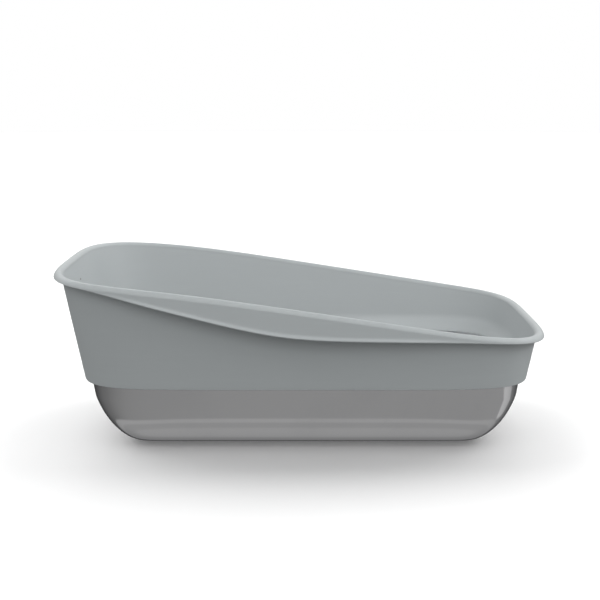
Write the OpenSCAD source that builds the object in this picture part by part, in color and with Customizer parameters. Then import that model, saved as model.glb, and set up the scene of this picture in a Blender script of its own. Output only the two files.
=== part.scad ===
// Open-topped cat litter box: a drawn steel pan on silicone feet, with a moulded high-sided shield that
// drops over the pan's rolled rim. Millimetres, +Z up. The high back is at -X and the low entry at +X.
// The origin is on the floor, under the middle of the whole box.

/* [Plan outline] */
// Half length of the shield at its lower edge
skirt_half_l = 261.8; // [240:0.2:280]
// Half width of the shield at its lower edge
skirt_half_w = 172.2; // [160:0.2:190]
// Straightness of the long sides, as a superellipse power
side_power = 6.7; // [4:0.1:10]
// Straightness of the two ends at the high back's crest, as a superellipse power
end_power = 3.8; // [2.5:0.1:8]
// Straightness of the two ends at the lower edge, where the corners are tighter
low_end_power = 5; // [2.5:0.1:8]
// How far the pan's middle lies ahead of the middle of the whole box
pan_x = 6.5; // [0:0.1:12]

/* [Shield] */
// Height of the lower edge above the floor
skirt_z = 75.7; // [72:0.1:90]
// Outward lean of the wall, as run over rise
wall_lean = 0.184; // [0.1:0.002:0.24]
// Wall thickness
wall_t = 2.6; // [2:0.1:3.2]
// Outer radius of the rolled-over crest
crest_r = 5.4; // [5:0.1:7]

/* [Crest line] */
// Crest height at the high back
back_z = 202.3; // [180:0.5:230]
// Fall of the crest along the back, per unit of length
back_fall = 0.066; // [0:0.002:0.1]
// Fall of the crest along the middle
middle_fall = 0.152; // [0.1:0.002:0.18]
// Fall of the crest at the low entry
entry_fall = 0.043; // [0:0.002:0.1]
// Where the back's fall turns into the middle's
back_bend_x = -159; // [-200:1:-100]
// Where the middle's fall turns into the entry's
entry_bend_x = 244; // [200:1:260]

/* [Apron] */
// Height of the apron's lower edge at mid length
apron_z = 136.2; // [125:0.5:145]
// Fall of that edge towards the entry
apron_fall = 0.019; // [0:0.001:0.04]
// Extra rise of that edge towards the back
apron_rise = 0.239; // [0.1:0.002:0.3]
// Where the rise begins
apron_bend_x = -25; // [-60:1:20]
// Least depth of the apron below the crest
apron_min = 5.9; // [5.6:0.1:9]
// Outward flare of the apron, as run over fall
apron_flare = 0.05; // [0:0.01:0.12]

/* [Inner ledge] */
// Height at which the inner wall turns into the sloping ledge
ledge_z = 91.5; // [88:0.5:96]
// Height of the ledge's inner lip
lip_z = 79.5; // [78:0.5:82]
// How far the lip reaches in from the lower edge's outline
lip_in = 13; // [11:0.5:18]

/* [Pan] */
// Gap between the shield's lower outline and the pan's wall
pan_in = 6.7; // [6:0.1:9]
// Outward lean of the pan's wall, as run over rise
pan_lean = 0.2; // [0.1:0.01:0.3]
// Thickness of the steel sheet
sheet_t = 0.8; // [0.6:0.1:1.2]
// Radius of the rolled rim
bead_r = 1.7; // [1.5:0.1:1.8]
// Height of the rolled rim's centre
bead_z = 80.6; // [79:0.1:80.8]
// Height and length of the sweep from each end wall into the bottom
end_sweep = [54, 40]; // [30:1:60]
// Height and width of the sweep from each side wall into the bottom
side_sweep = [38, 32]; // [15:1:45]

/* [Feet] */
// Height of the silicone feet
foot_h = 2.5; // [2:0.1:5]
// Radius of the feet
foot_r = 9; // [6:0.5:14]
// Distance of the feet from the pan's middle along the length
foot_dx = 168; // [120:1:180]
// Distance of the feet from the pan's middle across the width
foot_dy = 86; // [60:1:95]

/* [Hidden] */
shield_grey = [0.56, 0.59, 0.59];
steel_grey = [0.66, 0.66, 0.67];
foot_grey = [0.16, 0.16, 0.17];
square_run = 26;         // outward lean over which the ends turn from the lower power to the upper
square_gain = 3.2;       // half length gained over that run, beyond the lean itself
back_x = -300;           // where the crest line starts
back_bend_l = 43;        // half length over which the first change of fall is spread
entry_bend_l = 31;       // the same for the second
apron_bend_l = 25;       // the same for the apron's rise
apron_blend = 2.5;       // softness of the meeting of apron edge and least depth
edge_r = 0.7;            // rounding of the moulding's free edges
lip_t = 2.4;             // thickness of the ledge
bottom_side_power = 26;  // straightness of the sides of the pan's flat bottom
bottom_end_power = 7.8;  // straightness of the ends of the pan's flat bottom
end_sweep_power = 1.5;   // shape of the end sweep, where 2 is an ellipse
side_sweep_power = 2;
side_steps = 12;         // columns from the middle of a side to the corner
end_steps = 10;          // columns from the middle of an end to the corner
sweep_steps = 9;         // rings from the pan's wall to its bottom

// ---- Plan outline: |x/a|^m + |y/b|^n = 1, met from both sides at each corner ----
// A column is [on an end?, place from the middle (0) to the corner (1), sign of x, sign of y].
function spread(u) = sin(90 * u);
function rising(sx, sy) = concat(
    [for (i = [0 : end_steps - 1]) [true, spread(i / end_steps), sx, sy]],
    [for (i = [0 : side_steps - 1]) [false, spread(1 - i / side_steps), sx, sy]]);
function falling(sx, sy) = concat(
    [for (i = [0 : side_steps - 1]) [false, spread(i / side_steps), sx, sy]],
    [for (i = [0 : end_steps - 1]) [true, spread(1 - i / end_steps), sx, sy]]);
COLUMNS = concat(rising(1, 1), falling(-1, 1), rising(-1, -1), falling(1, -1));
COLS = len(COLUMNS);

function outline(a, b, m, n, c) = c[0]
    ? [c[2] * a * pow(1 - pow(c[1], n) / 2, 1 / m), c[3] * b * c[1] * pow(0.5, 1 / n)]
    : [c[2] * a * c[1] * pow(0.5, 1 / m), c[3] * b * pow(1 - pow(c[1], m) / 2, 1 / n)];

// ---- Crest and apron lines along the length ----
// bend is 0 well before x = 0 and x well after it, rounded over the length w.
function bend(x, w) = w * ln(1 + exp(x / w));
function soft_min(a, b, k) = min(a, b) - k * ln(1 + exp(-abs(a - b) / k));
function crest_z(x) = back_z - back_fall * (x - back_x)
    - (middle_fall - back_fall) * bend(x - back_bend_x, back_bend_l)
    + (middle_fall - entry_fall) * bend(x - entry_bend_x, entry_bend_l);
function apron_edge_z(x) = soft_min(crest_z(x) - apron_min + edge_r,
    apron_z - apron_fall * x + apron_rise * bend(apron_bend_x - x, apron_bend_l), apron_blend);

// ---- Shield ----
function wall_out(z) = wall_lean * (z - skirt_z);
function shield_xy(c, o) =
    let (up = max(0, min(1, o / square_run)))
    outline(skirt_half_l + o + square_gain * up, skirt_half_w + o,
            side_power, low_end_power + (end_power - low_end_power) * up, c);
// The crest stands further out where it is higher, so its height and place settle together.
function settle(c, z, turns) = turns == 0 ? z
    : settle(c, crest_z(shield_xy(c, wall_out(z) + crest_r)[0]), turns - 1);

// One closed section of the shield, as [outward offset, height] pairs at a column.
function shield_section(c) =
    let (top = settle(c, back_z, 6))
    let (cz = top - crest_r, co = wall_out(cz) - wall_t + crest_r)
    let (az = min(apron_edge_z(shield_xy(c, co + crest_r)[0]), cz - 0.4))
    let (flare = apron_flare * (cz - az), er = min(edge_r, (cz - az) / 2))
    let (in_r = crest_r - wall_t)
    let (slope = (ledge_z - lip_z) / (lip_in - wall_t + wall_out(ledge_z)))
    let (drop = lip_t * sqrt(1 + slope * slope))
    concat(
        [[-edge_r, skirt_z], [wall_out(skirt_z + edge_r), skirt_z + edge_r]],
        [for (a = [180 : -45 : 0]) [co + in_r * cos(a), cz + in_r * sin(a)]],
        [[co + in_r + flare, az + er], [co + in_r + flare + er, az],
         [co + crest_r + flare - er, az], [co + crest_r + flare, az + er]],
        [for (a = [0 : 22.5 : 180]) [co + crest_r * cos(a), cz + crest_r * sin(a)]],
        [[wall_out(ledge_z + 1.5) - wall_t, ledge_z + 1.5],
         [wall_out(ledge_z) - wall_t - 1.2, ledge_z - 1.2 * slope],
         [-lip_in + 0.4, lip_z + 0.4 * slope], [-lip_in, lip_z - 0.8],
         [-lip_in + 0.7, lip_z - drop + 1.4],
         [-wall_t - edge_r, lip_z + slope * (lip_in - wall_t - edge_r) - drop],
         [-wall_t + edge_r / 4, skirt_z + edge_r], [-wall_t + edge_r, skirt_z]]);

module shield() {
    sections = [for (c = COLUMNS) shield_section(c)];
    rings = len(sections[0]);
    points = [for (k = [0 : COLS - 1]) for (p = sections[k]) concat(shield_xy(COLUMNS[k], p[0]), p[1])];
    faces = [for (k = [0 : COLS - 1]) for (j = [0 : rings - 1])
        let (k2 = (k + 1) % COLS, j2 = (j + 1) % rings)
        let (p = k * rings + j, q = k2 * rings + j, r = k2 * rings + j2, s = k * rings + j2)
        each [[p, s, r], [p, r, q]]];
    color(shield_grey) translate([pan_x, 0, 0]) polyhedron(points, faces, convexity = 8);
}

// ---- Pan ----
// Inward run of a sweep of height h and reach r, at height z above the bottom.
function sweep(z, size, power) =
    let (u = max(0, min(1, (size[0] - z) / size[0])))
    size[1] * (1 - pow(max(0, 1 - pow(u, power)), 1 / power));

// Outline of the pan's outer face at height z; the corners tighten towards the flat bottom.
function pan_xy(c, z, out) =
    let (h = z - foot_h, full = bead_z - foot_h)
    let (o = out - pan_in - pan_lean * (skirt_z - z))
    let (t = 1 - sqrt(max(0, 1 - pow((full - h) / full, 2))))
    outline(skirt_half_l + o - sweep(h, end_sweep, end_sweep_power),
            skirt_half_w + o - sweep(h, side_sweep, side_sweep_power),
            side_power + t * (bottom_side_power - side_power),
            low_end_power + t * (bottom_end_power - low_end_power), c);

module steel_pan() {
    // The rolled rim hangs outside the wall: its circle starts at the sheet's inner face
    roll_c = bead_r - sheet_t;
    wall_top = bead_z - sqrt(bead_r * bead_r - roll_c * roll_c);
    turns = [for (i = [0 : sweep_steps]) 90 * i / sweep_steps];
    // A ring is [height on the outer face, outward offset, lift]
    outer = [for (i = [sweep_steps : -1 : 0]) [foot_h + (wall_top - foot_h) * (1 - sin(turns[i])), 0, 0]];
    roll = [for (a = [-85 : 53 : 180]) [bead_z, roll_c + bead_r * cos(a), bead_r * sin(a)]];
    inner = [for (i = [0 : sweep_steps])
        [foot_h + (wall_top - foot_h) * (1 - sin(turns[i])),
         -sheet_t * cos(turns[i]), sheet_t * sin(turns[i])]];
    rings = concat(outer, roll, inner);
    last = len(rings) - 1;
    middles = [[0, 0, foot_h], [0, 0, foot_h + sheet_t]];
    points = concat([for (g = rings) for (c = COLUMNS) concat(pan_xy(c, g[0], g[1]), g[0] + g[2])], middles);
    sides = [for (g = [0 : last - 1]) for (k = [0 : COLS - 1])
        let (k2 = (k + 1) % COLS)
        let (p = g * COLS + k, q = g * COLS + k2, r = (g + 1) * COLS + k2, s = (g + 1) * COLS + k)
        each [[p, s, r], [p, r, q]]];
    under = (last + 1) * COLS;
    flats = [for (k = [0 : COLS - 1])
        let (k2 = (k + 1) % COLS)
        each [[under, k, k2], [under + 1, last * COLS + k2, last * COLS + k]]];
    color(steel_grey) translate([pan_x, 0, 0]) polyhedron(points, concat(sides, flats), convexity = 8);
}

// ---- Feet ----
module foot(sx, sy) {
    color(foot_grey) translate([pan_x + sx * foot_dx, sy * foot_dy, 0])
        rotate_extrude($fn = 48)
            polygon([[0, 0], [foot_r - 1, 0], [foot_r, 0.8], [foot_r, foot_h], [0, foot_h]]);
}

module foot_front_left() { foot(1, -1); }
module foot_front_right() { foot(1, 1); }
module foot_back_left() { foot(-1, -1); }
module foot_back_right() { foot(-1, 1); }

steel_pan();
shield();
foot_front_left();
foot_front_right();
foot_back_left();
foot_back_right();
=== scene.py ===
"""Looks of an open cat litter box: a drawn steel pan on silicone feet under a moulded, high-sided shield.

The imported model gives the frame. Both large parts are rebuilt here as dense smooth surfaces from the same
rules as the solids they stand for, and each gets a finish worked out by nodes.
"""

from __future__ import annotations

import logging
import math
from dataclasses import dataclass, field
from enum import Enum
from typing import Any, ClassVar, Iterable, Sequence

import bpy
import numpy as np
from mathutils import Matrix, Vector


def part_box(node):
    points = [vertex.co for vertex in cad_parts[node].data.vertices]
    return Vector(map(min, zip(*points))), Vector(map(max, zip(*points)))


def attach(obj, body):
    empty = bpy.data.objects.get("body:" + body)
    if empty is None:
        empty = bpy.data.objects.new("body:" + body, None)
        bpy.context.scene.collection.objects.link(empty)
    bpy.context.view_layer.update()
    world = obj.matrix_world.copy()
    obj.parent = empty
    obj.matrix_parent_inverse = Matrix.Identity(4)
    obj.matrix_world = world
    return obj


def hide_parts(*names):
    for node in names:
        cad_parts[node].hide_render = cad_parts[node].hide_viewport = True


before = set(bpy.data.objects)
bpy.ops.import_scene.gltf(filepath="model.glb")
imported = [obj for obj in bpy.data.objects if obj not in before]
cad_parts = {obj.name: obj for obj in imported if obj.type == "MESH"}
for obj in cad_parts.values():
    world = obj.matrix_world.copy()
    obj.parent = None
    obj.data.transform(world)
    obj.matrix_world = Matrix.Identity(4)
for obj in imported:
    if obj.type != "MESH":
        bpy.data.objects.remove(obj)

logging.basicConfig(level=logging.INFO, format="%(message)s")
log = logging.getLogger("litter_box")

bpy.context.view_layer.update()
MM = 0.001


# ---- Outlines and lines that the two large parts share ----


@dataclass(frozen=True)
class Stations:
    """Places round a superellipse outline, as whole arrays of one length.

    Attributes:
        on_end: True on the two short ends, False on the two long sides.
        place: 0 at the middle of a side or end, 1 at the corner where they meet.
        sign_x: Which half of the length, 1 or -1.
        sign_y: Which half of the width, 1 or -1.
    """

    on_end: np.ndarray
    place: np.ndarray
    sign_x: np.ndarray
    sign_y: np.ndarray

    @property
    def count(self) -> int:
        """Number of places round the outline."""
        return len(self.place)


def stations(side_steps: int, end_steps: int) -> Stations:
    """Spreads places round an outline, closer together towards the corners.

    From the middle (0) to the corner (1) a place is the sine of an angle that grows evenly to 90 degrees.

    Args:
        side_steps: Places from the middle of a long side to its corner.
        end_steps: Places from the middle of an end to its corner.

    Returns:
        The places, anticlockwise from the middle of the +X end.
    """
    end = np.sin(np.linspace(0, np.pi / 2, end_steps + 1))
    side = np.sin(np.linspace(0, np.pi / 2, side_steps + 1))
    rising = [(True, end[:-1]), (False, side[:0:-1])]
    falling = [(False, side[:-1]), (True, end[:0:-1])]
    on_end, place, sign_x, sign_y = [], [], [], []
    for runs, sx, sy in ((rising, 1, 1), (falling, -1, 1), (rising, -1, -1), (falling, 1, -1)):
        for is_end, run in runs:
            on_end.append(np.full(len(run), is_end))
            place.append(run)
            sign_x.append(np.full(len(run), sx))
            sign_y.append(np.full(len(run), sy))
    return Stations(*(np.concatenate(part) for part in (on_end, place, sign_x, sign_y)))


def outline(
    half_l: Any, half_w: Any, side_power: Any, end_power: Any, at: Stations
) -> tuple[np.ndarray, np.ndarray]:
    """Places on |x / half_l| ** side_power + |y / half_w| ** end_power = 1.

    At a corner both terms are one half. Along a side x runs evenly in the place and y follows from the
    formula; along an end y runs evenly and x follows.

    Args:
        half_l: Half length, one number or an array that broadcasts against the places.
        half_w: Half width, likewise.
        side_power: Straightness of the long sides.
        end_power: Straightness of the ends.
        at: The places.

    Returns:
        The x and y arrays.
    """
    t = at.place
    x_end = half_l * (1 - t**end_power / 2) ** (1 / side_power)
    y_end = half_w * t * 0.5 ** (1 / end_power)
    x_side = half_l * t * 0.5 ** (1 / side_power)
    y_side = half_w * (1 - t**side_power / 2) ** (1 / end_power)
    return at.sign_x * np.where(at.on_end, x_end, x_side), at.sign_y * np.where(at.on_end, y_end, y_side)


def bend(x: np.ndarray, width: float) -> np.ndarray:
    """Zero well before x = 0 and x well after it: width * ln(1 + e ** (x / width))."""
    return width * np.logaddexp(0, x / width)


def soft_min(a: np.ndarray, b: np.ndarray, width: float) -> np.ndarray:
    """The smaller of two heights, with the corner where they cross rounded over the width."""
    return -width * np.logaddexp(-a / width, -b / width)


def smooth_step(low: float, high: float, x: np.ndarray) -> np.ndarray:
    """0 below low and 1 above high, joined by 3 u ** 2 - 2 u ** 3."""
    u = np.clip((x - low) / (high - low), 0, 1)
    return u * u * (3 - 2 * u)


# ---- Sections: a closed line of [outward offset, height] rows, each row an array over the places ----


class Section:
    """A cross-section that may differ at each place, built up row by row.

    Every row is an outward offset, a height and a weight of edge rubbing and painted shade; offsets and
    heights are arrays over the places, so the whole shell is one sheet of rows by places.
    """

    def __init__(self, count: int) -> None:
        """Starts an empty section.

        Args:
            count: Number of places round the outline.
        """
        self.count = count
        self.rows: list[tuple[np.ndarray, np.ndarray]] = []
        self.wear_and_shade: list[float] = []

    def _row(self, o: Any, z: Any, wear_and_shade: float) -> None:
        """Adds one row."""
        self.rows.append(tuple(np.broadcast_to(v, self.count).astype(float) for v in (o, z)))
        self.wear_and_shade.append(wear_and_shade)

    def line(
        self, start: Sequence[Any], end: Sequence[Any], steps: int, wear_and_shade: float = 0.0, bulge: Any = None
    ) -> None:
        """A straight run whose rows crowd at both ends, so that the fillets beside it don't tilt its shading.

        The shares of the way are (1 - cos(pi k)) / 2 for evenly spaced k, without both ends.

        Args:
            start: Offset and height at the start.
            end: Offset and height at the end.
            steps: Number of rows.
            wear_and_shade: How worn the run is in use, and how much painted shade darkens it.
            bulge: Optional function from the share of the way to an extra offset.
        """
        for u in 0.5 - 0.5 * np.cos(np.linspace(0, np.pi, steps + 2)[1:-1]):
            extra = bulge(u) if bulge else 0.0
            self._row(start[0] + (end[0] - start[0]) * u + extra, start[1] + (end[1] - start[1]) * u, wear_and_shade)

    def arc(
        self,
        centre: Sequence[Any],
        radii: Sequence[Any],
        start: float,
        end: float,
        steps: int,
        wear_and_shade: Sequence[float] = (0, 0),
        outer_power: float = 1.0,
    ) -> None:
        """Part of an ellipse, from one angle to another, ends included.

        On the outer half sin a is raised to the outer power; above 1 that makes the outer shoulder steeper.

        Args:
            centre: Offset and height of the centre.
            radii: Radius along the offset and radius along the height.
            start: First angle in degrees, 0 outwards and 90 up.
            end: Last angle.
            steps: Number of gaps between rows.
            wear_and_shade: Weight of rubbing and painted shade at the ends and at the middle.
            outer_power: Power of sin a on the outer half, for an angle from 0 to 90.
        """
        for u in np.linspace(0, 1, steps + 1):
            a = math.radians(start + (end - start) * u)
            rub = wear_and_shade[0] + (wear_and_shade[1] - wear_and_shade[0]) * math.sin(math.pi * u)
            rise = abs(math.sin(a)) ** (outer_power if math.cos(a) > 0 else 1.0)
            up = math.copysign(rise, math.sin(a))
            self._row(centre[0] + radii[0] * math.cos(a), centre[1] + radii[1] * up, rub)

    def fillet(
        self, start: Sequence[Any], corner: Sequence[Any], end: Sequence[Any], steps: int, wear_and_shade: float = 0.0
    ) -> None:
        """A soft corner: the quadratic curve that leaves start towards the corner and meets end from it.

        Args:
            start: Offset and height where it begins.
            corner: Offset and height of the sharp corner.
            end: Offset and height where it ends.
            steps: Number of gaps between rows.
            wear_and_shade: How worn it is in use, and how much painted shade darkens it.
        """
        for u in np.linspace(0, 1, steps + 1):
            a, b, c = (1 - u) ** 2, 2 * u * (1 - u), u * u
            self._row(*(a * p + b * q + c * r for p, q, r in zip(start, corner, end)), wear_and_shade)

    def arrays(self) -> tuple[np.ndarray, np.ndarray, np.ndarray]:
        """Offsets and heights as rows by places, and each row's weight of rubbing and painted shade."""
        o, z = (np.array(part) for part in zip(*self.rows))
        return o, z, np.array(self.wear_and_shade)


# ---- Meshes ----


@dataclass
class Sheet:
    """A grid of points, rows by places, that closes round the places.

    Attributes:
        points: Rows by places by three.
        wear_and_shade: Rubbing of each point, and painted shade on the shield's crest, 0 to 1.
        flow: Rows by places by two: distance round the outline and along the section, in metres.
        poles: One point that closes the last row, or two that close the first and the last. Without any
            the last row joins the first.
    """

    points: np.ndarray
    wear_and_shade: np.ndarray
    flow: np.ndarray
    poles: Sequence[Sequence[float]] = ()

    def faces(self) -> tuple[np.ndarray, np.ndarray]:
        """Corner indices: four-sided faces, then the three-sided ones round the poles."""
        rows, places = self.points.shape[:2]
        lower = np.arange(rows - 1 if self.poles else rows)[:, None]
        here = np.arange(places)[None, :]
        beside, upper = (here + 1) % places, (lower + 1) % rows
        low, high = lower * places, upper * places
        quads = np.stack([low + here, low + beside, high + beside, high + here], axis=-1).reshape(-1, 4)
        ring, after, top = here[0], beside[0], (rows - 1) * places
        fans = [(after, ring), (top + ring, top + after)][2 - len(self.poles) :]
        tris = [np.stack([np.full(places, rows * places + k), *fan], axis=-1) for k, fan in enumerate(fans)]
        return quads, np.concatenate([np.zeros((0, 3), int), *tris])

    def make(self, name: str) -> bpy.types.Object:
        """Writes the grid into a mesh object, with its rubbing-and-shade weight and its flow as attributes.

        Args:
            name: Name of the piece.

        Returns:
            The object, at the origin, shaded smooth.
        """
        co = np.concatenate([self.points.reshape(-1, 3), np.array(self.poles, float).reshape(-1, 3)])
        quads, tris = self.faces()
        corners = np.concatenate([quads.ravel(), tris.ravel()]).astype(np.int32)
        starts = np.concatenate([np.arange(len(quads)) * 4, len(quads) * 4 + np.arange(len(tris)) * 3])
        mesh = bpy.data.meshes.new(name)
        mesh.vertices.add(len(co))
        mesh.vertices.foreach_set("co", co.astype(np.float32).ravel())
        mesh.loops.add(len(corners))
        mesh.loops.foreach_set("vertex_index", corners)
        mesh.polygons.add(len(starts))
        mesh.polygons.foreach_set("loop_start", starts.astype(np.int32))
        mesh.polygons.foreach_set("use_smooth", np.ones(len(starts), bool))
        mesh.update(calc_edges=True)
        extra = len(self.poles)
        wear_and_shade = mesh.attributes.new("wear_and_shade", "FLOAT", "POINT")
        wear_and_shade.data.foreach_set("value", np.append(self.wear_and_shade.ravel(), np.zeros(extra)).astype(np.float32))
        flow = np.concatenate([self.flow.reshape(-1, 2), np.zeros((extra, 2))])
        flow = np.column_stack([flow, np.zeros(len(flow))])
        run = mesh.attributes.new("flow", "FLOAT_VECTOR", "POINT")
        run.data.foreach_set("vector", flow.astype(np.float32).ravel())
        piece = bpy.data.objects.new(name, mesh)
        bpy.context.scene.collection.objects.link(piece)
        return piece


def flow_of(points: np.ndarray) -> np.ndarray:
    """Distance round the outline and along the section at each point of a grid, in metres.

    Args:
        points: Rows by places by three.

    Returns:
        Rows by places by two.
    """
    around = np.linalg.norm(np.diff(points, axis=1, append=points[:, :1]), axis=2).mean(axis=0)
    along = np.linalg.norm(np.diff(points, axis=0), axis=2).mean(axis=1)
    u = np.concatenate([[0], np.cumsum(around)[:-1]])
    v = np.concatenate([[0], np.cumsum(along)])
    return np.stack(np.broadcast_arrays(u[None, :], v[:, None]), axis=-1)


# ---- Shader maths ----


def operator(operation: str, turned: bool = False) -> Any:
    """A method that makes one Math node of a wire and another value, the other way round if turned."""

    def method(self: Wire, other: Any) -> Wire:
        """The wire that leaves the node."""
        a, b = (other, self) if turned else (self, other)
        return self.apply(operation, a, b)

    return method


@dataclass(frozen=True)
class Wire:
    """A shader value that Python arithmetic turns into Math nodes; angle is the one from other to self.

    Attributes:
        graph: The graph that the socket is in.
        socket: The output socket.
    """

    graph: Graph
    socket: bpy.types.NodeSocket

    __add__ = __radd__ = operator("ADD")
    __sub__ = operator("SUBTRACT")
    __rsub__ = operator("SUBTRACT", turned=True)
    __mul__ = __rmul__ = operator("MULTIPLY")
    __truediv__ = operator("DIVIDE")
    angle = operator("ARCTAN2")

    def apply(self, operation: str, a: Any, b: Any, clamp: bool = False) -> Wire:
        """One Math node on two values."""
        settings = {"operation": operation, "use_clamp": clamp}
        return self.graph.node("ShaderNodeMath", settings, {0: a, 1: b}).wire(0)

    def clamped(self) -> Wire:
        """The value held between 0 and 1."""
        return self.apply("ADD", self, 0.0, clamp=True)

    def between(self, low: float, high: float) -> Wire:
        """0 below low, 1 above high, a smooth step between; a larger low turns it round."""
        settings = {"interpolation_type": "SMOOTHSTEP"}
        values = {"Value": self, "From Min": low, "From Max": high}
        return self.graph.node("ShaderNodeMapRange", settings, values).wire("Result")


@dataclass(frozen=True)
class Made:
    """A node that has just been made, whose outputs are taken as wires.

    Attributes:
        graph: The graph that the node is in.
        node: The node.
    """

    graph: Graph
    node: bpy.types.Node

    def wire(self, key: str | int = 0) -> Wire:
        """The output of that name, identifier or number."""
        return Wire(self.graph, pick(self.node.outputs, key))


def pick(sockets: Iterable[Any], key: str | int) -> Any:
    """Finds a socket by number, identifier or name.

    Args:
        sockets: A node's inputs or outputs.
        key: Number, identifier or name.

    Returns:
        The socket.
    """
    if isinstance(key, int):
        return list(sockets)[key]
    for socket in sockets:
        if socket.identifier == key:
            return socket
    return next(socket for socket in sockets if socket.name == key)


class Graph:
    """A material's or world's node tree under construction."""

    def __init__(self, owner: bpy.types.ID) -> None:
        """Empties the owner's tree.

        Args:
            owner: A material or world.
        """
        owner.use_nodes = True
        self.tree = owner.node_tree
        self.tree.nodes.clear()

    def node(
        self, kind: str, settings: dict[str, Any] | None = None, values: dict[str | int, Any] | None = None
    ) -> Made:
        """Adds a node.

        Args:
            kind: Node type.
            settings: Properties, which are set first.
            values: Numbers, colours or wires of its inputs.

        Returns:
            The node.
        """
        made = self.tree.nodes.new(kind)
        for key, value in (settings or {}).items():
            setattr(made, key, value)
        for key, value in (values or {}).items():
            socket = pick(made.inputs, key)
            if isinstance(value, Wire):
                self.tree.links.new(value.socket, socket)
            else:
                socket.default_value = value
        return Made(self, made)

    def place(self) -> Wire:
        """Object coordinates, in metres."""
        return self.node("ShaderNodeTexCoord").wire("Object")

    def parts(self, vector: Wire) -> tuple[Wire, Wire, Wire]:
        """A vector's three parts."""
        made = self.node("ShaderNodeSeparateXYZ", None, {0: vector})
        return made.wire(0), made.wire(1), made.wire(2)

    def attribute(self, name: str, output: str = "Fac") -> Wire:
        """One of the piece's own attributes."""
        return self.node("ShaderNodeAttribute", {"attribute_name": name}).wire(output)

    def stretched(self, vector: Wire, scale: Sequence[float]) -> Wire:
        """A vector times a scale along each axis."""
        made = self.node("ShaderNodeVectorMath", {"operation": "MULTIPLY"}, {0: vector, 1: tuple(scale)})
        return made.wire("Vector")

    def distance(self, vector: Wire, point: Sequence[float]) -> Wire:
        """Distance from a fixed point."""
        made = self.node("ShaderNodeVectorMath", {"operation": "DISTANCE"}, {0: vector, 1: tuple(point)})
        return made.wire("Value")

    def noise(self, vector: Wire, scale: float, detail: float = 2.0, rough: float = 0.5) -> Wire:
        """Fractal noise, about 0 to 1."""
        values = {"Vector": vector, "Scale": scale, "Detail": detail, "Roughness": rough}
        return self.node("ShaderNodeTexNoise", {"noise_dimensions": "3D"}, values).wire(0)

    def scratches(self, vector: Wire, scale: float, width: float) -> Wire:
        """Hair lines: 1 on the borders of stretched Voronoi cells and 0 away from them."""
        cells = self.node(
            "ShaderNodeTexVoronoi", {"feature": "DISTANCE_TO_EDGE"}, {"Vector": vector, "Scale": scale}
        ).wire("Distance")
        return cells.between(width, 0.0)

    def mix(self, share: Any, first: Any, second: Any) -> Wire:
        """Two colours mixed."""
        values = {"Factor_Float": share, "A_Color": first, "B_Color": second}
        return self.node("ShaderNodeMix", {"data_type": "RGBA"}, values).wire("Result_Color")

    def ramp(self, at: Wire, levels: Sequence[float]) -> Wire:
        """Levels at equal steps from 0 to 1, joined by straight lines and ending on the first one."""
        made = self.tree.nodes.new("ShaderNodeValToRGB")
        top = max(max(levels), 1e-6)
        stops = made.color_ramp.elements
        for k in range(len(levels) - 1):
            stops.new((k + 1) / len(levels))
        for stop, level in zip(stops, [*levels, levels[0]]):
            stop.color = grey(level / top)
        self.tree.links.new(at.socket, made.inputs[0])
        return Wire(self, made.outputs[0]) * top

    def bump(self, height: Wire, distance: float) -> Wire:
        """The normal of a relief whose height of 1 is that many metres."""
        values = {"Height": height, "Distance": distance, "Strength": 1.0}
        return self.node("ShaderNodeBump", None, values).wire("Normal")

    def surface(self, **values: Any) -> None:
        """A Principled shader on the output, with its inputs given with _ for spaces."""
        inputs = {name.replace("_", " "): value for name, value in values.items()}
        shader = self.node("ShaderNodeBsdfPrincipled", None, inputs)
        self.node("ShaderNodeOutputMaterial", None, {"Surface": shader.wire("BSDF")})


Colour = tuple[float, float, float, float]


def grey(level: float, tint: Sequence[float] = (1.0, 1.0, 1.0)) -> Colour:
    """A colour of that level with a tint."""
    return (level * tint[0], level * tint[1], level * tint[2], 1.0)


# ---- Finishes ----


class Finish:
    """A material worked out by nodes, under the label that its own class gives."""

    label: ClassVar[str]

    def lay(self, g: Graph) -> None:
        """Lays out the nodes."""
        raise NotImplementedError

    def make(self) -> bpy.types.Material:
        """The finished material."""
        material = bpy.data.materials.new(self.label)
        self.lay(Graph(material))
        return material


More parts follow.
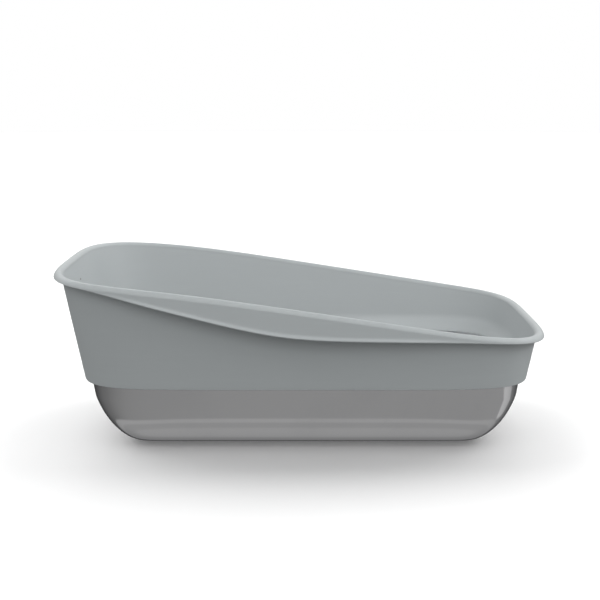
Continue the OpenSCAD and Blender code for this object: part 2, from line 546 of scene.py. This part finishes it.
@dataclass(frozen=True)
class MouldedPlastic(Finish):
    """Satin grey-green plastic from a spark-eroded mould.

    Attributes:
        base: Body colour.
        rubbed_and_shaded: Darker colour for edges worn in use, and painted shade that dims the crest.
        roughness: Mean roughness.
        grain: Height of the fine mould grain, in metres.
        dark_dot: Where a small near-black dot is painted on the inner wall.
    """

    base: Colour = (0.326, 0.349, 0.355, 1.0)
    rubbed_and_shaded: Colour = (0.268, 0.288, 0.293, 1.0)
    roughness: float = 0.46
    grain: float = 14e-6
    dark_dot: tuple[float, float, float] = (-0.2729, 0.0, 0.1748)

    label: ClassVar[str] = "moulded_plastic"

    def lay(self, g: Graph) -> None:
        """Lays out the nodes."""
        place = g.place()
        # Weight of edge rubbing and of painted shade, highest on the crest's top.
        wear_and_shade = g.attribute("wear_and_shade")
        clouds = g.noise(place, 7.0, 3.0)
        melt = g.noise(g.stretched(place, (5.0, 5.0, 60.0)), 3.0, 4.0, 0.6)
        grain = g.noise(place, 2400.0, 1.0)
        pebble = g.noise(place, 900.0, 2.0)
        broad = g.noise(place, 26.0, 2.0)
        hairs = g.scratches(g.stretched(place, (55.0, 55.0, 9.0)), 1.0, 0.012)
        patches = g.noise(place, 14.0, 2.0).between(0.56, 0.70)
        scuffs = hairs * patches
        rub = (wear_and_shade * g.noise(place, 120.0, 3.0).between(0.38, 0.72)).clamped()
        tone = g.mix(clouds.between(0.3, 0.7) * 0.35, self.base, grey(0.965, self.base))
        tone = g.mix(melt.between(0.45, 0.75) * 0.3, tone, grey(1.03, self.base))
        # Worn edges and scuffs turn darker, and the crest turns darker as painted shade that dims its lit
        # top.
        tone = g.mix((wear_and_shade * 0.55 + rub * 0.3 + scuffs * 0.2).clamped(), tone, self.rubbed_and_shaded)
        # A small near-black dot painted on the inner wall at the high back's end.
        dark_dot = g.distance(g.stretched(place, (1.0, 0.3, 1.0)), self.dark_dot).between(1.5 * MM, 0.9 * MM)
        tone = g.mix(dark_dot * 0.8, tone, grey(0.07))
        rough = self.roughness + (clouds - 0.5) * 0.07 + (melt - 0.5) * 0.06 - rub * 0.09 + scuffs * 0.07
        relief = grain + pebble * 1.3 - scuffs * 0.8 + broad * 3.0
        g.surface(
            Base_Color=tone,
            Roughness=rough,
            Normal=g.bump(relief, self.grain),
            IOR=1.49,
            Specular_IOR_Level=0.42,
        )


@dataclass(frozen=True)
class DrawnSteel(Finish):
    """Satin stainless sheet, drawn into a dish, with fine lines that follow its walls.

    Attributes:
        base: Colour of the metal.
        stained: Colour where washing has dulled it.
        grazing: Tint of reflections at a grazing angle.
        roughness: Mean roughness.
        line_height: Height of the finishing lines, in metres.
    """

    base: Colour = (0.60, 0.60, 0.605, 1.0)
    stained: Colour = (0.50, 0.50, 0.51, 1.0)
    grazing: Colour = (0.42, 0.42, 0.43, 1.0)
    roughness: float = 0.12
    line_height: float = 4e-6

    label: ClassVar[str] = "drawn_steel"

    def lay(self, g: Graph) -> None:
        """Lays out the nodes."""
        place = g.place()
        flow = g.attribute("flow", "Vector")
        # On the pan this weight is 1 on the bottom and only sets which way the lines run.
        on_floor = g.attribute("wear_and_shade")
        wall_lines = g.noise(g.stretched(flow, (14.0, 2600.0, 0.0)), 1.0, 3.0, 0.6)
        floor_lines = g.noise(g.stretched(place, (14.0, 2600.0, 40.0)), 1.0, 3.0, 0.6)
        wide_lines = g.noise(g.stretched(flow, (5.0, 420.0, 0.0)), 1.0, 2.0)
        lines = wall_lines * (1 - on_floor) + floor_lines * on_floor
        clouds = g.noise(place, 11.0, 4.0, 0.55)
        drops = g.noise(place, 60.0, 2.0).between(0.62, 0.72)
        buckle = g.noise(g.stretched(place, (5.0, 5.0, 14.0)), 1.0, 1.0)
        raked = g.scratches(g.stretched(place, (7.0, 70.0, 40.0)), 1.0, 0.010)
        raked = raked * g.noise(place, 16.0, 2.0).between(0.45, 0.65)
        colour = g.mix(clouds.between(0.40, 0.72) * 0.22 + drops * 0.06, self.base, self.stained)
        rough = self.roughness + (lines - 0.5) * 0.10 + (wide_lines - 0.5) * 0.05
        rough = rough + (clouds - 0.5) * 0.04 + drops * 0.03 + raked * 0.04
        relief = lines + wide_lines * 1.2 + buckle * 12.0 - raked * 1.5
        g.surface(
            Base_Color=colour,
            Metallic=1.0,
            Roughness=rough,
            Specular_Tint=self.grazing,
            Normal=g.bump(relief, self.line_height),
        )


@dataclass(frozen=True)
class Silicone(Finish):
    """Matt dark silicone, with lint and a soft bloom.

    Attributes:
        base: Body colour.
        bloom: Colour of the dusty bloom.
        roughness: Mean roughness.
        grain: Height of the grain, in metres.
    """

    base: Colour = (0.030, 0.030, 0.033, 1.0)
    bloom: Colour = (0.085, 0.085, 0.088, 1.0)
    roughness: float = 0.72
    grain: float = 12e-6

    label: ClassVar[str] = "foot_silicone"

    def lay(self, g: Graph) -> None:
        """Lays out the nodes."""
        place = g.place()
        clouds = g.noise(place, 260.0, 3.0)
        specks = g.noise(place, 1900.0, 2.0).between(0.60, 0.70)
        colour = g.mix(clouds.between(0.42, 0.7) * 0.7 + specks * 0.3, self.base, self.bloom)
        relief = g.noise(place, 2600.0, 2.0) + clouds * 2.0
        rough = self.roughness + (clouds - 0.5) * 0.16
        g.surface(Base_Color=colour, Roughness=rough, Normal=g.bump(relief, self.grain), IOR=1.41)


def dress(piece: bpy.types.Object, material: bpy.types.Material) -> None:
    """Gives a piece its one material."""
    piece.data.materials.clear()
    piece.data.materials.append(material)


# ---- The shield ----


@dataclass
class Shell:
    """What the shield and the pan share, in metres: the lower outline and the places round it.

    Attributes:
        half_l: Half length of the shield's lower edge.
        half_w: Half width of the same.
        side_power: Straightness of the long sides.
        side_steps: Places from the middle of a side to its corner.
        end_steps: Places from the middle of an end to its corner.
    """

    half_l: float = 261.8 * MM
    half_w: float = 172.2 * MM
    side_power: float = 6.7
    side_steps: int = 66
    end_steps: int = 48

    def __post_init__(self) -> None:
        """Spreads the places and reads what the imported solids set."""
        self.at = stations(self.side_steps, self.end_steps)
        low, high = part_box("steel_pan")
        self.pan_x = (low.x + high.x) / 2
        self.floor_z = low.z
        self.skirt_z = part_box("shield")[0].z


@dataclass
class Shield(Shell):
    """The moulded surround: skirt, wall, rolled crest, hanging apron and inner ledge, all one wall thick.

    Attributes:
        finish: The plastic.
        end_power: Straightness of the ends at the high back's crest.
        low_end_power: Straightness of the ends at the lower edge.
        square_run: Outward lean over which the ends turn from the lower power to the upper.
        square_gain: Half length gained over that run, beyond the lean.
        lean: Outward run over rise of the wall.
        wall: Wall thickness.
        crest_r: Outer radius of the crest.
        back_x: Where the crest line starts.
        back_z: Its height there.
        falls: Fall per unit of length at the back, the middle and the entry.
        back_bend: Where the first fall turns into the second, and over what length.
        entry_bend: The same for the second and the third.
        apron_z: Height of the apron's edge at mid length.
        apron_fall: Fall of that edge towards the entry.
        apron_rise: Its extra rise towards the back.
        apron_bend: Where the rise begins, and over what length.
        apron_min: Least depth of the apron's edge below the crest's top.
        apron_least: Least depth of the edge below the crest's middle.
        apron_blend: Softness with which the two lines meet.
        apron_flare: Outward run over fall of the apron.
        curl: Outward curl at the apron's edge.
        curl_run: Height over which it dies away.
        curl_depths: Apron depths at which the curl begins and is full.
        shoulder: Steepness of the crest's outer half, 1 for a plain round.
        ledge_z: Height at which the wall turns into the ledge.
        lip_z: Height of the ledge's lip.
        lip_in: How far the lip reaches in from the lower edge's outline.
        lip_t: Thickness of the ledge.
        ledge_fillet: Length of the soft corner above the ledge.
        lip_round: Length of the rounding from the ledge over its lip.
        lip_face: How far below the lip its upright face begins and ends.
        lip_under: Run and drop of the rounding under the lip.
        root: Where the underside turns down the skirt: run before the corner, run past it, and drop.
        edge: Rounding of the lower edge.
        rounds: Rounds in which the crest settles.
    """

    finish: MouldedPlastic = field(default_factory=MouldedPlastic)
    end_power: float = 3.8
    low_end_power: float = 5.0
    square_run: float = 26.0 * MM
    square_gain: float = 3.2 * MM
    lean: float = 0.184
    wall: float = 2.6 * MM
    crest_r: float = 5.4 * MM
    back_x: float = -300.0 * MM
    back_z: float = 202.3 * MM
    falls: tuple[float, float, float] = (0.066, 0.152, 0.043)
    back_bend: tuple[float, float] = (-159.0 * MM, 43.0 * MM)
    entry_bend: tuple[float, float] = (244.0 * MM, 31.0 * MM)
    apron_z: float = 136.2 * MM
    apron_fall: float = 0.019
    apron_rise: float = 0.239
    apron_bend: tuple[float, float] = (-25.0 * MM, 25.0 * MM)
    apron_min: float = 5.8 * MM
    apron_least: float = 0.4 * MM
    apron_blend: float = 2.5 * MM
    apron_flare: float = 0.05
    curl: float = 1.2 * MM
    curl_run: float = 2.4 * MM
    curl_depths: tuple[float, float] = (2.0 * MM, 14.0 * MM)
    shoulder: float = 1.35
    ledge_z: float = 91.5 * MM
    lip_z: float = 79.5 * MM
    lip_in: float = 13.0 * MM
    lip_t: float = 2.4 * MM
    ledge_fillet: float = 8.0 * MM
    lip_round: float = 1.2 * MM
    lip_face: tuple[float, float] = (1.0 * MM, 1.3 * MM)
    lip_under: tuple[float, float] = (1.6 * MM, 1.8 * MM)
    root: tuple[float, float, float] = (0.9 * MM, 1.2 * MM, 2.0 * MM)
    edge: float = 0.8 * MM
    rounds: int = 8

    def crest_z(self, x: np.ndarray) -> np.ndarray:
        """Crest height: three straight falls along the length, joined by two soft bends."""
        (x1, w1), (x2, w2) = self.back_bend, self.entry_bend
        back, middle, entry = self.falls
        first = (middle - back) * bend(x - x1, w1)
        second = (middle - entry) * bend(x - x2, w2)
        return self.back_z - back * (x - self.back_x) - first + second

    def apron_edge_z(self, x: np.ndarray) -> np.ndarray:
        """Height of the apron's edge: a level line that climbs to the back, kept below the crest."""
        x1, w1 = self.apron_bend
        level = self.apron_z - self.apron_fall * x + self.apron_rise * bend(x1 - x, w1)
        return soft_min(self.crest_z(x) - self.apron_min, level, self.apron_blend)

    def wall_out(self, z: Any) -> Any:
        """Outward offset of the wall's outer face at a height."""
        return self.lean * (z - self.skirt_z)

    def inner(self, z: float) -> tuple[float, float]:
        """Outward offset and height of the wall's inner face at a height."""
        return self.wall_out(z) - self.wall, z

    def plan(self, offset: Any) -> tuple[np.ndarray, np.ndarray]:
        """The outline at an outward offset from the skirt's edge, squarer at its ends towards the skirt."""
        up = np.clip(offset / self.square_run, 0, 1)
        end = self.low_end_power + (self.end_power - self.low_end_power) * up
        half_l = self.half_l + offset + self.square_gain * up
        return outline(half_l, self.half_w + offset, self.side_power, end, self.at)

    def section(self) -> Section:
        """The closed section at every place, from the skirt's outer edge up, over the crest and down inside.

        The crest's height and its outward offset depend on each other, so both settle in a few rounds.

        Returns:
            The section.
        """
        top = np.full(self.at.count, self.back_z)
        for _ in range(self.rounds):
            top = self.crest_z(self.plan(self.wall_out(top) + self.crest_r)[0])
        cz = top - self.crest_r
        co = self.wall_out(cz) - self.wall + self.crest_r
        e, low = self.edge, self.skirt_z + self.edge
        s = Section(self.at.count)
        s.arc((self.wall_out(low) - e, low), (e, e), -90, 0, 6, (0.3, 1.0))
        s.line((self.wall_out(low), low), (co - self.crest_r + self.wall, cz), 26)
        self.add_apron(s, co, cz)
        # The crest's weight rises to 1 at its top, where the plastic's darker colour lays painted shade.
        s.arc((co, cz), (self.crest_r, self.crest_r), 0, 180, 40, (0.1, 1.0), self.shoulder)
        self.add_ledge(s, (co - self.crest_r, cz))
        s.arc((self.wall_out(low) - self.wall + e, low), (e, e), 180, 270, 6, (0.3, 1.0))
        return s

    def add_apron(self, s: Section, co: np.ndarray, cz: np.ndarray) -> None:
        """Adds the hollow under the crest, both faces of the apron and its rounded edge.

        Args:
            s: The section under construction.
            co: Outward offset of the crest's middle.
            cz: Height of the crest's middle.
        """
        hollow = self.crest_r - self.wall
        az = np.minimum(self.apron_edge_z(self.plan(co + self.crest_r)[0]), cz - self.apron_least)
        depth = cz - az
        lip_h = np.minimum(self.wall / 2, depth)
        curl = self.curl * smooth_step(*self.curl_depths, depth)
        foot = self.apron_flare * depth

        def curled(going_down: bool) -> Any:
            """The apron's outward curl, gathered into the last few millimetres above its edge."""

            def bulge(u: float) -> np.ndarray:
                """Extra offset at a share of the way along the face."""
                above = depth * ((1 - u) if going_down else u)
                return curl * np.exp(-((above / self.curl_run) ** 2))

            return bulge

        s.arc((co, cz), (hollow, hollow), 180, 0, 12)
        s.line((co + hollow, cz), (co + hollow + foot, az + lip_h), 16, 0.0, curled(True))
        lip = (co + self.crest_r - self.wall / 2 + foot + curl, az + lip_h)
        s.arc(lip, (self.wall / 2, lip_h), 180, 360, 12, (0.2, 0.9))
        s.line((co + self.crest_r + foot, az + lip_h), (co + self.crest_r, cz), 22, 0.0, curled(False))

    def add_ledge(self, s: Section, start: Sequence[np.ndarray]) -> None:
        """Adds the inner wall, the sloping ledge with its lip, its underside and the skirt's inner face.

        Args:
            s: The section under construction.
            start: Offset and height of the crest's inner foot.
        """
        slope = (self.ledge_z - self.lip_z) / (self.lip_in - self.wall + self.wall_out(self.ledge_z))
        length = math.hypot(1, slope)
        fillet, nose = self.ledge_fillet, self.lip_round
        corner = self.inner(self.ledge_z)
        off_wall = (corner[0] - fillet / length, corner[1] - fillet * slope / length)
        lip_top = (-self.lip_in, self.lip_z)
        near_lip = (lip_top[0] + nose / length, lip_top[1] + nose * slope / length)
        face = [(-self.lip_in, self.lip_z - drop) for drop in self.lip_face]
        run, drop = self.lip_under
        before, past, below = self.root

        def under(o: float) -> tuple[float, float]:
            """The ledge's underside at an offset."""
            return o, self.lip_z + slope * (o + self.lip_in) - self.lip_t * length

        root = under(-self.wall - before)
        skirt = self.inner(root[1] - below)
        s.line(start, self.inner(self.ledge_z + fillet), 24)
        s.fillet(self.inner(self.ledge_z + fillet), corner, off_wall, 8)
        s.line(off_wall, near_lip, 8)
        s.fillet(near_lip, lip_top, face[0], 5, 0.5)
        s.fillet(face[1], (-self.lip_in, self.lip_z - drop), under(-self.lip_in + run), 4)
        s.line(under(-self.lip_in + run), root, 6)
        s.fillet(root, under(-self.wall + past), skirt, 5)
        s.line(skirt, self.inner(self.skirt_z + self.edge), 6)

    def build(self) -> bpy.types.Object:
        """Makes the shield and puts it on its body.

        Returns:
            The piece.
        """
        o, z, wear_and_shade = self.section().arrays()
        x, y = self.plan(o)
        points = np.stack([x + self.pan_x, y, z], axis=-1)
        sheet = Sheet(points, np.broadcast_to(wear_and_shade[:, None], x.shape), flow_of(points))
        piece = sheet.make("shield_shell")
        dress(piece, self.finish.make())
        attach(piece, "shield")
        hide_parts("shield")
        log.info("shield_shell: %d faces", len(piece.data.polygons))
        return piece


# ---- The pan ----


@dataclass
class Sweep:
    """The round run from a wall into the bottom.

    Attributes:
        height: How far above the bottom it starts.
        reach: How far inwards it runs.
        power: Shape, where 2 is an ellipse and less is softer.
    """

    height: float
    reach: float
    power: float

    def inward(self, h: np.ndarray) -> np.ndarray:
        """Inward run at a height h above the bottom: reach * (1 - (1 - u ** power) ** (1 / power))."""
        u = np.clip((self.height - h) / self.height, 0, 1)
        return self.reach * (1 - np.maximum(0, 1 - u**self.power) ** (1 / self.power))


@dataclass
class SteelPan(Shell):
    """The drawn dish with its rolled rim.

    Attributes:
        finish: The steel.
        end_power: Straightness of the ends at the rim.
        floor_powers: Both, at the flat bottom.
        inset: Gap between the shield's lower outline and the pan's wall.
        lean: Outward run over rise of the wall.
        sheet: Thickness of the steel.
        bead_r: Radius of the rolled rim.
        bead_z: Height of its centre.
        end_sweep: Run from an end wall into the bottom.
        side_sweep: Run from a side wall into the bottom.
        wall_rows: Rows up each face of the wall.
        floor_rows: Rows across each face of the bottom.
        floor_shares: Their reach, from the innermost to the outermost, as shares of the wall's foot.
        floor_extra: Rows of the sweep that are finished like the bottom.
        roll: Angles at which the rolled rim begins and ends, 0 outwards and 90 up.
        roll_rows: Rows round it.
    """

    finish: DrawnSteel = field(default_factory=DrawnSteel)
    end_power: float = 5.0
    floor_powers: tuple[float, float] = (26.0, 7.8)
    inset: float = 6.7 * MM
    lean: float = 0.2
    sheet: float = 0.8 * MM
    bead_r: float = 1.7 * MM
    bead_z: float = 80.6 * MM
    end_sweep: Sweep = field(default_factory=lambda: Sweep(54 * MM, 40 * MM, 1.5))
    side_sweep: Sweep = field(default_factory=lambda: Sweep(38 * MM, 32 * MM, 2.0))
    wall_rows: int = 56
    floor_rows: int = 14
    floor_shares: tuple[float, float] = (0.06, 0.97)
    floor_extra: int = 3
    roll: tuple[float, float] = (-112.0, 180.0)
    roll_rows: int = 26

    def plan(self, z: np.ndarray, out: np.ndarray) -> tuple[np.ndarray, np.ndarray]:
        """The outer face's outline at each height, moved outwards; corners tighten towards the bottom.

        The half axes shrink by the lean and by the sweep, and both powers grow from the rim's to the
        bottom's by 1 - sqrt(1 - k ** 2), where k is the share of the way down.

        Args:
            z: Heights, one per row.
            out: Outward shift, one per row.

        Returns:
            The x and y arrays, rows by places.
        """
        h = (z - self.floor_z)[:, None]
        full = self.bead_z - self.floor_z
        offset = out[:, None] - self.inset - self.lean * (self.skirt_z - z)[:, None]
        tight = 1 - np.sqrt(np.maximum(0, 1 - ((full - h) / full) ** 2))
        side = self.side_power + tight * (self.floor_powers[0] - self.side_power)
        end = self.end_power + tight * (self.floor_powers[1] - self.end_power)
        half_l = self.half_l + offset - self.end_sweep.inward(h)
        half_w = self.half_w + offset - self.side_sweep.inward(h)
        return outline(half_l, half_w, side, end, self.at)

    def build(self) -> bpy.types.Object:
        """Makes the pan and puts it on its body.

        The rows run from the middle of the underside out, up the outer face, round the rolled rim, down
        the inner face and back to the middle of the inside. The inner face is the outer one moved by
        the sheet's thickness along the turn of the wall: cos t inwards and sin t upwards.

        Returns:
            The piece.
        """
        roll_c = self.bead_r - self.sheet
        wall_top = self.bead_z - math.sqrt(self.bead_r**2 - roll_c**2)
        turn = np.linspace(0, np.pi / 2, self.wall_rows)
        height = self.floor_z + (wall_top - self.floor_z) * (1 - np.sin(turn))
        roll = np.radians(np.linspace(*self.roll, self.roll_rows))
        at_bead = np.full(len(roll), self.bead_z)
        z = np.concatenate([height[::-1], at_bead, height])
        outer = np.zeros(self.wall_rows)
        out = np.concatenate([outer, roll_c + self.bead_r * np.cos(roll), -self.sheet * np.cos(turn)])
        lift = np.concatenate([outer, self.bead_r * np.sin(roll), self.sheet * np.sin(turn)])
        x, y = self.plan(z, out)
        walls = np.stack([x, y, np.broadcast_to((z + lift)[:, None], x.shape)], axis=-1)
        share = np.linspace(*self.floor_shares, self.floor_rows)
        shrink = np.stack([share, share, np.ones_like(share)], axis=-1)[:, None, :]
        points = np.concatenate([walls[:1] * shrink, walls, (walls[-1:] * shrink)[::-1]])
        points[..., 0] += self.pan_x
        on_floor = np.zeros(len(points))
        flat = self.floor_rows + self.floor_extra
        on_floor[:flat] = on_floor[-flat:] = 1
        poles = ((self.pan_x, 0, self.floor_z), (self.pan_x, 0, self.floor_z + self.sheet))
        dull = np.broadcast_to(on_floor[:, None], points.shape[:2])
        piece = Sheet(points, dull, flow_of(points), poles).make("steel_pan_shell")
        dress(piece, self.finish.make())
        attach(piece, "pan")
        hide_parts("steel_pan")
        log.info("steel_pan_shell: %d faces", len(piece.data.polygons))
        return piece


# ---- The feet ----


@dataclass
class Feet:
    """The four silicone feet, each a turned pad with a ring recess underneath.

    Attributes:
        finish: The silicone.
        corner_r: Rounding of the lower rim.
        top_r: Rounding of the upper rim.
        recess: Depth of the ring recess.
        ring: Its middle and its half width, as shares of the radius.
        middle: Smallest ring of faces, as a share of the flat it is in.
        steps: Places round a foot.
    """

    finish: Silicone = field(default_factory=Silicone)
    corner_r: float = 0.8 * MM
    top_r: float = 0.3 * MM
    recess: float = 0.5 * MM
    ring: tuple[float, float] = (0.45, 0.13)
    middle: float = 0.04
    steps: int = 72

    def profile(self, radius: float, height: float) -> np.ndarray:
        """Half section as radius and height rows: up the rim, in over the top, and out along the base.

        Args:
            radius: Radius of the pad.
            height: Height of the pad.

        Returns:
            Rows of radius and height, from the middle of the base to the middle of the top.
        """
        c = self.corner_r
        base_r = np.linspace(self.middle, 1, 24) * (radius - c)
        ring = np.exp(-(((base_r / radius) - self.ring[0]) / self.ring[1]) ** 4)
        base = np.column_stack([base_r, self.recess * ring])
        a = np.linspace(-np.pi / 2, 0, 9)[1:]
        low = np.column_stack([radius - c + c * np.cos(a), c + c * np.sin(a)])
        b = np.linspace(0, np.pi / 2, 6)
        t = self.top_r
        high = np.column_stack([radius - t + t * np.cos(b), height - t + t * np.sin(b)])
        top_r = np.linspace(1, self.middle, 8)[1:] * (radius - t)
        top = np.column_stack([top_r, np.full(len(top_r), height)])
        return np.concatenate([base, low, high, top])

    def build(self) -> list[bpy.types.Object]:
        """Makes the feet where the solids are.

        Returns:
            The four pieces.
        """
        material = self.finish.make()
        pieces = []
        for node in sorted(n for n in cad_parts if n.startswith("foot_")):
            low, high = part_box(node)
            centre = (low + high) / 2
            radius, height = (high.x - low.x) / 2, high.z - low.z
            rz = self.profile(radius, height)
            a = np.linspace(0, 2 * np.pi, self.steps, endpoint=False)
            x = centre.x + rz[:, :1] * np.cos(a)
            y = centre.y + rz[:, :1] * np.sin(a)
            points = np.stack([x, y, np.broadcast_to(low.z + rz[:, 1:], x.shape)], axis=-1)
            poles = ((centre.x, centre.y, low.z), (centre.x, centre.y, high.z))
            piece = Sheet(points, np.zeros(points.shape[:2]), flow_of(points), poles).make(node + "_pad")
            dress(piece, material)
            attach(piece, "pan")
            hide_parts(node)
            log.info("%s: %d faces", piece.name, len(piece.data.polygons))
            pieces.append(piece)
        return pieces


# ---- The studio ----


class Reach(Enum):
    """What a lamp lights."""

    ALL = "everything"
    PIECES = "the object alone"
    FLOOR = "the floor alone"


@dataclass(frozen=True)
class Lamp:
    """A distant lamp.

    Attributes:
        name: Name of the lamp.
        strength: Light on a face square to the lamp, as the grey a white face would show.
        softness: Width of the lamp in the sky, in degrees.
        azimuth: Direction it stands in, 0 on the near side and 90 beyond the low entry, in degrees.
        height: Its elevation, in degrees.
        reach: What it lights.
    """

    name: str
    strength: float
    softness: float
    azimuth: float
    height: float
    reach: Reach = Reach.ALL

    def hang(self, lit: dict[Reach, bpy.types.Collection]) -> None:
        """Puts the lamp in the scene.

        Args:
            lit: What each reach other than ALL lights.
        """
        data = bpy.data.lights.new(self.name, "SUN")
        data.energy, data.angle = self.strength * math.pi, math.radians(self.softness)
        sun = bpy.data.objects.new(self.name, data)
        sun.rotation_euler = (math.radians(90 - self.height), 0.0, math.radians(self.azimuth))
        if self.reach in lit:
            sun.light_linking.receiver_collection = lit[self.reach]
        bpy.context.scene.collection.objects.link(sun)


@dataclass(frozen=True)
class Belt:
    """One belt of the bright surround, between two heights of the unit sphere.

    Attributes:
        low: Sine of the lower elevation.
        high: Sine of the upper elevation.
        ring: Strength at eight equal steps round it, from the near side by way of the high back.
    """

    low: float
    high: float
    ring: tuple[float, ...]


@dataclass
class Studio:
    """Pale floor, a bright surround in belts, soft lamps and the camera.

    The surround goes on below the level of the floor, which is seen and lit but casts nothing back, so that
    the underside of the object is lit as it would be on a sheet of lit glass.

    Attributes:
        distance: Camera to target, in metres.
        elevation: Height of the camera above the target, in degrees.
        target: Point in the middle of the picture.
        lens: Focal length, in millimetres.
        sensor: Sensor width, in millimetres.
        floor_half: Radius of the floor.
        floor_white: Reflectance of the floor.
        drop_height: Height of the backdrop.
        edge: Softness of the belts' edges, as a sine.
        belts: The surround.
        hung: The lamps.
    """

    distance: float = 1.5507
    elevation: float = 9.936
    target: tuple[float, float, float] = (-0.0004, 0.0, 0.1483)
    lens: float = 74.69
    sensor: float = 36.0
    floor_half: float = 9.0
    floor_white: float = 0.90
    drop_height: float = 8.0
    edge: float = 0.05
    belts: tuple[Belt, ...] = (
        Belt(-1.2, -0.94, (0.47,) * 8),
        Belt(-0.94, -0.80, (0.42,) * 8),
        Belt(-0.80, -0.66, (0.49,) * 8),
        Belt(-0.66, -0.25, (0.39, 0.34, 0.23, 0.2, 0.14, 0.32, 0.41, 0.4)),
        Belt(-0.25, 0.0, (0, 0, 0.36, 0.2, 0.0, 0.1, 0.13, 0)),
        Belt(0.0, 0.3, (0.98, 0.89, 1.02, 0.9, 0.4, 1.22, 1.14, 0.89)),
        Belt(0.3, 0.7, (0.01, 0.86, 1.71, 1.99, 2.26, 1.97, 1.67, 0.84)),
        Belt(0.7, 1.2, (0.51,) * 8),
    )
    hung: tuple[Lamp, ...] = (
        Lamp("behind", 0.27, 25.0, 180.0, 25.0, Reach.FLOOR),
        Lamp("behind_high_back", 0.34, 50.0, 225.0, 45.0, Reach.FLOOR),
        Lamp("behind_low_entry", 0.3, 50.0, 135.0, 45.0, Reach.FLOOR),
        Lamp("fill_near_low", 0.21, 30.0, 0.0, 35.0, Reach.PIECES),
        Lamp("fill_near_right", 0.22, 40.0, 45.0, 50.0, Reach.PIECES),
        Lamp("fill_near_left", 0.17, 40.0, 315.0, 50.0, Reach.PIECES),
        Lamp("glint_right", 0.02, 30.0, 102.0, -24.0, Reach.PIECES),
        Lamp("fill_right", 0.29, 50.0, 90.0, 45.0, Reach.PIECES),
    )

    def camera(self) -> None:
        """Stands the camera on the near side, a little above the rim, looking along +Y."""
        e = math.radians(self.elevation)
        data = bpy.data.cameras.new("camera")
        data.lens, data.sensor_width = self.lens, self.sensor
        data.clip_start, data.clip_end = 0.05, 100.0
        camera = bpy.data.objects.new("camera", data)
        x, y, z = self.target
        camera.location = (x, y - self.distance * math.cos(e), z + self.distance * math.sin(e))
        camera.rotation_euler = (math.pi / 2 - e, 0.0, 0.0)
        bpy.context.scene.collection.objects.link(camera)
        bpy.context.scene.camera = camera

    def lamps(self, pieces: Sequence[bpy.types.Object], ground: bpy.types.Object) -> None:
        """Hangs the lamps.

        Args:
            pieces: The object's pieces.
            ground: The floor.
        """
        lit = {reach: bpy.data.collections.new(reach.name) for reach in (Reach.PIECES, Reach.FLOOR)}
        for piece in pieces:
            lit[Reach.PIECES].objects.link(piece)
        lit[Reach.FLOOR].objects.link(ground)
        for lamp in self.hung:
            lamp.hang(lit)

    def surround(self) -> None:
        """Lights the scene from all round, belt above belt, each running evenly between its eight steps."""
        world = bpy.data.worlds.new("surround")
        bpy.context.scene.world = world
        g = Graph(world)
        x, y, z = g.parts(g.node("ShaderNodeTexCoord").wire("Generated"))
        turn = x.angle(y) / (2 * math.pi) + 0.5
        e = self.edge / 2
        total: Any = 0.0
        for belt in self.belts:
            inside = z.between(belt.low - e, belt.low + e) * z.between(belt.high + e, belt.high - e)
            total = total + inside * g.ramp(turn, belt.ring)
        glow = g.node("ShaderNodeBackground", None, {"Color": (1.0, 1.0, 1.0, 1.0), "Strength": total})
        g.node("ShaderNodeOutputWorld", None, {"Surface": glow.wire()})

    def floor(self) -> bpy.types.Object:
        """Lays the floor, and stands a plain white backdrop far round it that only the camera meets.

        Returns:
            The floor.
        """
        half = self.floor_half
        a = np.linspace(0, 2 * np.pi, 96, endpoint=False)
        rim = np.array([1.0, 0.25, 0.02])[:, None] * half
        points = np.stack([rim * np.cos(a), rim * np.sin(a), 0 * rim * a], axis=-1)
        floor = self.disc(points, (0, 0, 0), "studio_floor")
        dress(floor, self.plaster())
        r = np.array([1.0, 1.02, 1.02])[:, None] * half
        z = np.array([-0.01, 0.4, self.drop_height])[:, None] + 0 * a
        wall = np.stack([r * np.cos(a), r * np.sin(a), z], axis=-1)
        drop = self.disc(wall, (0, 0, self.drop_height), "studio_backdrop")
        material = bpy.data.materials.new("white_backdrop")
        g = Graph(material)
        glow = g.node("ShaderNodeEmission", None, {"Color": (1.0, 1.0, 1.0, 1.0), "Strength": 1.0})
        g.node("ShaderNodeOutputMaterial", None, {"Surface": glow.wire()})
        dress(drop, material)
        for piece in (floor, drop):
            piece.visible_diffuse = False
            piece.visible_glossy = False
            piece.visible_shadow = False
        return floor

    def disc(self, rings: np.ndarray, pole: Sequence[float], name: str) -> bpy.types.Object:
        """Makes a sheet of rings that closes on a pole.

        Args:
            rings: Rings from the outside in, by places, by three.
            pole: The point in the middle.
            name: Name of the piece.

        Returns:
            The piece.
        """
        return Sheet(rings, np.zeros(rings.shape[:2]), flow_of(rings), (pole,)).make(name)

    def plaster(self) -> bpy.types.Material:
        """Matt white floor with the faintest mottling."""
        material = bpy.data.materials.new("pale_floor")
        g = Graph(material)
        mottle = g.noise(g.place(), 3.0, 3.0)
        white = self.floor_white
        g.surface(
            Base_Color=g.mix(mottle * 0.02, grey(white), grey(white * 0.96)),
            Roughness=0.9,
            Specular_IOR_Level=0.1,
        )
        return material

    def build(self, pieces: Sequence[bpy.types.Object]) -> None:
        """Sets up the lamps, the surround and the floor.

        Args:
            pieces: The object's pieces.
        """
        self.lamps(pieces, self.floor())
        self.surround()
        bpy.context.scene.view_settings.view_transform = "Standard"


def corners(box: Sequence[Sequence[float]]) -> list[list[float]]:
    """A box's two corners as plain lists."""
    return [[float(v) for v in corner] for corner in box]


def main() -> None:
    """Builds the pieces and the studio."""
    studio = Studio()
    studio.camera()
    pieces = [Shield().build(), SteelPan().build(), *Feet().build()]
    studio.build(pieces)


if __name__ == "__main__":
    main()
